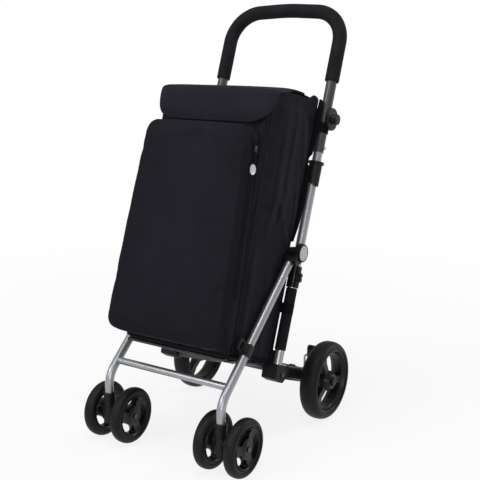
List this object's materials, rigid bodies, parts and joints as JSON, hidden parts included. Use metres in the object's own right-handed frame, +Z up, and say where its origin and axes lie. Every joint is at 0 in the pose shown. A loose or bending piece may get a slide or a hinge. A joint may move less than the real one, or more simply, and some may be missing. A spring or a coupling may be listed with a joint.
{
  "type": "shopping trolley",
  "caption": "Leaning fabric shopping bag on a folding tube frame with twin-wheel swivel casters in front, large rear wheels, a foot brake and a U-shaped push handle.",
  "frame": {"origin": "on the floor below the middle of the trolley's bounding box", "axes": "+Z up, -Y to the front, +X to the trolley's side that carries the pocket's zip"},
  "size_m": [0.4326, 0.5832, 0.999],
  "materials": {
    "silver_tube": "satin silver paint",
    "dark_tube": "satin charcoal paint",
    "grip_foam": "matt closed-cell foam",
    "black_steel": "gloss black paint",
    "bright_steel": "plain zinc plate",
    "silver_cap": "satin silver",
    "bag_fabric": "black woven polyester",
    "webbing": "black woven webbing",
    "sleeve_fabric": "soft black sleeve",
    "tyre_rubber": "matt black rubber",
    "black_plastic": "moulded, lightly textured"
  },
  "bodies": {
    "frame": {"axle_beam": "black_steel", "axle_bushes": "black_plastic", "axle_caps": "black_plastic", "bag_back": "bag_fabric", "bag_floor": "bag_fabric", "bag_front": "bag_fabric", "bag_loops": "webbing", "bag_side_left": "bag_fabric", "bag_side_right": "bag_fabric", "base_frame": "black_steel", "brake_clips": "black_plastic", "foot_brackets": "black_plastic", "frame_rivets": "black_steel", "front_pocket": "bag_fabric", "hinge_saddles": "black_plastic", "lock_collars": "black_plastic", "lower_sleeves": "sleeve_fabric", "pivot_bolts": "bright_steel", "rear_arms": "black_steel", "rear_axle": "bright_steel", "upright_collars": "black_plastic", "upright_tube_left": "silver_tube", "upright_tube_right": "silver_tube"},
    "front_legs": {"front_leg_left": "silver_tube", "front_leg_right": "silver_tube", "front_crossbar": "silver_tube", "leg_head_left": "black_plastic", "leg_head_right": "black_plastic", "hinge_caps": "silver_cap", "leg_clips": "black_plastic", "caster_socket_left": "black_plastic", "caster_socket_right": "black_plastic"},
    "handle": {"handle_tube": "dark_tube", "handle_grip": "grip_foam", "hanger_pegs": "black_plastic"},
    "snap_button_right": {"snap_button_right": "bright_steel"},
    "snap_button_left": {"snap_button_left": "bright_steel"},
    "fold_button_right": {"fold_button_right": "black_plastic"},
    "fold_button_left": {"fold_button_left": "black_plastic"},
    "brake": {"brake_rod": "bright_steel", "brake_pedals": "black_plastic"},
    "flap": {"bag_flap": "bag_fabric"},
    "zip_slider": {"zip_slider": "bright_steel"},
    "zip_pull": {"zip_pull": "silver_cap"},
    "caster_left": {"caster_fork_left": "black_plastic", "caster_axle_left": "black_steel"},
    "rear_wheel_left": {"rear_rim_left": "black_plastic", "rear_tyre_left": "tyre_rubber"},
    "caster_wheel_inner_left": {"caster_rim_inner_left": "black_plastic", "caster_tyre_inner_left": "tyre_rubber"},
    "caster_wheel_outer_left": {"caster_rim_outer_left": "black_plastic", "caster_tyre_outer_left": "tyre_rubber"},
    "caster_right": {"caster_fork_right": "black_plastic", "caster_axle_right": "black_steel"},
    "rear_wheel_right": {"rear_rim_right": "black_plastic", "rear_tyre_right": "tyre_rubber"},
    "caster_wheel_inner_right": {"caster_rim_inner_right": "black_plastic", "caster_tyre_inner_right": "tyre_rubber"},
    "caster_wheel_outer_right": {"caster_rim_outer_right": "black_plastic", "caster_tyre_outer_right": "tyre_rubber"}
  },
  "joints": [
    {"name": "front_fold", "type": "hinge", "parent": "frame", "child": "front_legs", "pos_m": [0, 0.04766, 0.43344], "axis": [1, 0, 0], "range_deg": [0, 22]},
    {"name": "handle_slide", "type": "slide", "parent": "frame", "child": "handle", "axis": [0, 0.3502, 0.9367], "range_m": [0, 0.03]},
    {"name": "snap_button_right", "type": "slide", "parent": "handle", "child": "snap_button_right", "axis": [-1, 0, 0], "range_m": [0, 0.0035], "stiffness_N_per_m": 600, "springref_m": -0.002},
    {"name": "fold_button_right", "type": "slide", "parent": "frame", "child": "fold_button_right", "axis": [-1, 0, 0], "range_m": [0, 0.003], "stiffness_N_per_m": 600, "springref_m": -0.002},
    {"name": "caster_swivel_right", "type": "hinge", "parent": "front_legs", "child": "caster_right", "pos_m": [0.155, -0.2543, 0.07], "axis": [0, 0, 1], "continuous": true},
    {"name": "caster_wheel_outer_right_spin", "type": "hinge", "parent": "caster_right", "child": "caster_wheel_outer_right", "pos_m": [0.194, -0.2263, 0.065], "axis": [1, 0, 0], "continuous": true},
    {"name": "caster_wheel_inner_right_spin", "type": "hinge", "parent": "caster_right", "child": "caster_wheel_inner_right", "pos_m": [0.116, -0.2263, 0.065], "axis": [1, 0, 0], "continuous": true},
    {"name": "rear_wheel_right_spin", "type": "hinge", "parent": "frame", "child": "rear_wheel_right", "pos_m": [0.189, 0.1477, 0.096], "axis": [1, 0, 0], "continuous": true},
    {"name": "snap_button_left", "type": "slide", "parent": "handle", "child": "snap_button_left", "axis": [1, 0, 0], "range_m": [0, 0.0035], "stiffness_N_per_m": 600, "springref_m": -0.002},
    {"name": "fold_button_left", "type": "slide", "parent": "frame", "child": "fold_button_left", "axis": [1, 0, 0], "range_m": [0, 0.003], "stiffness_N_per_m": 600, "springref_m": -0.002},
    {"name": "caster_swivel_left", "type": "hinge", "parent": "front_legs", "child": "caster_left", "pos_m": [-0.155, -0.2543, 0.07], "axis": [0, 0, 1], "continuous": true},
    {"name": "caster_wheel_outer_left_spin", "type": "hinge", "parent": "caster_left", "child": "caster_wheel_outer_left", "pos_m": [-0.194, -0.2263, 0.065], "axis": [1, 0, 0], "continuous": true},
    {"name": "caster_wheel_inner_left_spin", "type": "hinge", "parent": "caster_left", "child": "caster_wheel_inner_left", "pos_m": [-0.116, -0.2263, 0.065], "axis": [1, 0, 0], "continuous": true},
    {"name": "rear_wheel_left_spin", "type": "hinge", "parent": "frame", "child": "rear_wheel_left", "pos_m": [-0.189, 0.1477, 0.096], "axis": [1, 0, 0], "continuous": true},
    {"name": "brake_pedal", "type": "hinge", "parent": "frame", "child": "brake", "pos_m": [0, 0.1657, 0.105], "axis": [-1, 0, 0], "range_deg": [0, 25]},
    {"name": "flap_lift", "type": "hinge", "parent": "frame", "child": "flap", "pos_m": [0, 0.17089, 0.76247], "axis": [-1, 0, 0], "range_deg": [0, 85]},
    {"name": "zip_slide", "type": "slide", "parent": "frame", "child": "zip_slider", "axis": [0.0391, -0.2961, -0.9544], "range_m": [0, 0.3]},
    {"name": "zip_pull_swing", "type": "hinge", "parent": "zip_slider", "child": "zip_pull", "pos_m": [0.13775, -0.09609, 0.68395], "axis": [0, -0.9551, 0.2963], "range_deg": [0, 80]}
  ]
}
